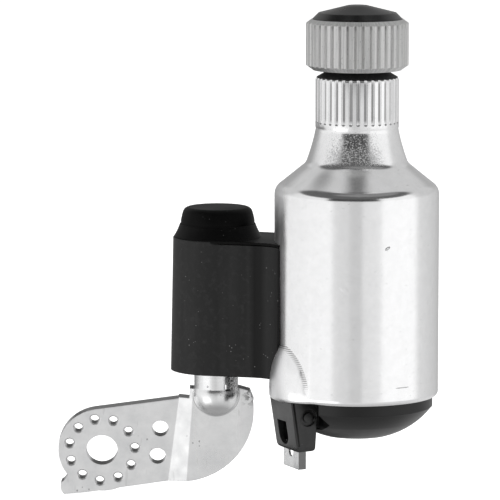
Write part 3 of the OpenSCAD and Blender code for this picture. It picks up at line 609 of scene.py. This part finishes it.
def lamp(name, place, target, size, power):
    data = bpy.data.lights.new(name, "AREA")
    data.shape = "RECTANGLE"
    data.size, data.size_y = size
    data.energy = power
    lamp_object = bpy.data.objects.new(name, data)
    bpy.context.scene.collection.objects.link(lamp_object)
    lamp_object.visible_glossy = False
    lamp_object.location = place
    lamp_object.rotation_euler = (Vector(target) - Vector(place)).to_track_quat("-Z", "Y").to_euler()


def floor(height):
    """Plain pale floor, white to the camera, that keeps the object's shadow."""
    half = 3.0
    glow_to_camera = 0.75
    mesh = bpy.data.meshes.new("floor")
    corners = [(-half, -half, height), (half, -half, height), (half, half, height), (-half, half, height)]
    mesh.from_pydata(corners, [], [(0, 1, 2, 3)])
    plane = bpy.data.objects.new("floor", mesh)
    bpy.context.scene.collection.objects.link(plane)
    t = Tree("floor_white")
    t.finish(t.blend(t.noise(20.0, 2.0), grey(0.80), grey(0.82)), 0.9)
    t.bsdf.inputs["Emission Color"].default_value = (1, 1, 1, 1)
    seen = t.add("ShaderNodeLightPath").outputs["Is Camera Ray"]
    t.feed(t.bsdf.inputs["Emission Strength"], t.math("MULTIPLY", seen, glow_to_camera))
    mesh.materials.append(t.material)
    plane.visible_glossy = False


def camera():
    """The photograph's view: a long lens, 7.6 degrees above the horizon."""
    distance, elevation = 0.95, math.radians(7.6)
    pixels_per_metre, picture, sensor = 4100.0, 500.0, 36.0
    aim_left_of_bottle, aim_height = 26.0 * MM, 52.08 * MM
    target = Vector((CAN_X - aim_left_of_bottle, CAN_Y, aim_height))
    data = bpy.data.cameras.new("camera")
    data.sensor_width = sensor
    data.lens = sensor * distance * pixels_per_metre / picture
    data.clip_start, data.clip_end = 0.05, 20.0
    eye = bpy.data.objects.new("camera", data)
    bpy.context.scene.collection.objects.link(eye)
    eye.location = target + distance * Vector((0, -math.cos(elevation), math.sin(elevation)))
    eye.rotation_euler = (math.pi / 2 - elevation, 0, 0)
    bpy.context.scene.camera = eye


camera()
world_light()
centre = Vector((40 * MM, -10 * MM, 50 * MM))
lamp("softbox_left", (-0.9, -0.5, 0.7), centre, size=(0.7, 0.9), power=4.0)
lamp("softbox_right", (1.0, -0.4, 0.6), centre, size=(0.6, 0.9), power=3.0)
lamp("top", (0.05, 0.1, 1.1), centre, size=(0.9, 0.9), power=5.0)
floor(cad_lo.z)
bpy.context.scene.view_settings.view_transform = "Standard"

steel = inner_metal("spring_steel", grey(0.4), grey(0.58))
bronze = inner_metal("sintered_bronze", (0.42, 0.26, 0.1, 1), (0.7, 0.48, 0.24, 1), 0.4, 900.0)
iron = inner_metal("pole_iron", grey(0.2), grey(0.34), 0.45, 700.0)
ferrite = inner_metal("ferrite", grey(0.04), grey(0.09), 0.55, 1500.0)
bracket_steel = plated_steel("plated_steel", 0.95, rough=(0.36, 0.48), cut_side=(0, 0, 1), cut_tone=0.45,
                             hole_shade_tone=0.2, edge=0.3 * MM)
tab_steel = plated_steel("tab_steel", 0.76, rough=(0.2, 0.3), cut_side=(0.44, -0.9, 0), cut_tone=0.16,
                         hole_shade_tone=0.16, edge=0.18 * MM)
housing_black = black_plastic("housing_black", 0.0215, rough=(0.3, 0.4), dust=0.8, gloss=0.2, hollow_shade=True)
cover_black = black_plastic("cover_black", 0.003, rough=(0.4, 0.5), dust=0.2, gloss=0.1, edge=0.1 * MM)
button_black = black_plastic("button_black", 0.003, rough=(0.4, 0.5), dust=0.2, gloss=0.07, edge=0.2 * MM)
base_black = black_plastic("base_black", 0.024, rough=(0.28, 0.38), dust=0.3, gloss=0.42, rim_shade=True)
block_black = black_plastic("block_black", 0.022, rough=(0.26, 0.36), dust=0.3, gloss=0.48)

dress(bracket_steel, "mounting_bracket", sharp=BENT_SHEET_ANGLE)
dress(tab_steel, "terminal_clip", "bearing_sleeve")
dress(polished_aluminium(), "can_shell")
dress(roller_zinc(), "drive_roller")
dress(housing_black, "pivot_housing")
dress(cover_black, "housing_cover", "latch_collar")
dress(button_black, "push_button")
dress(base_black, "base_cap")
dress(block_black, "terminal_block")
dress(gloss_black(), "roller_cap")
dress(rubber(), "dust_seal")
dress(moulded_ivory(), "coil_bobbin", "magnet_hub")
dress(steel, "torsion_spring", "rotor_shaft", "saddle_screws", "roller_nut", "thrust_washer",
      "shaft_circlip")
spring_that_shortens("button_spring", steel)
spring_that_shortens("terminal_spring", steel)
dress(bronze, "upper_bush", "lower_bush", "contact_strip")
dress(iron, "upper_claw_pole", "lower_claw_pole")
dress(ferrite, "rotor_magnet")
dress(copper_winding(), "stator_coil")
dress(felt(), "oil_felt")
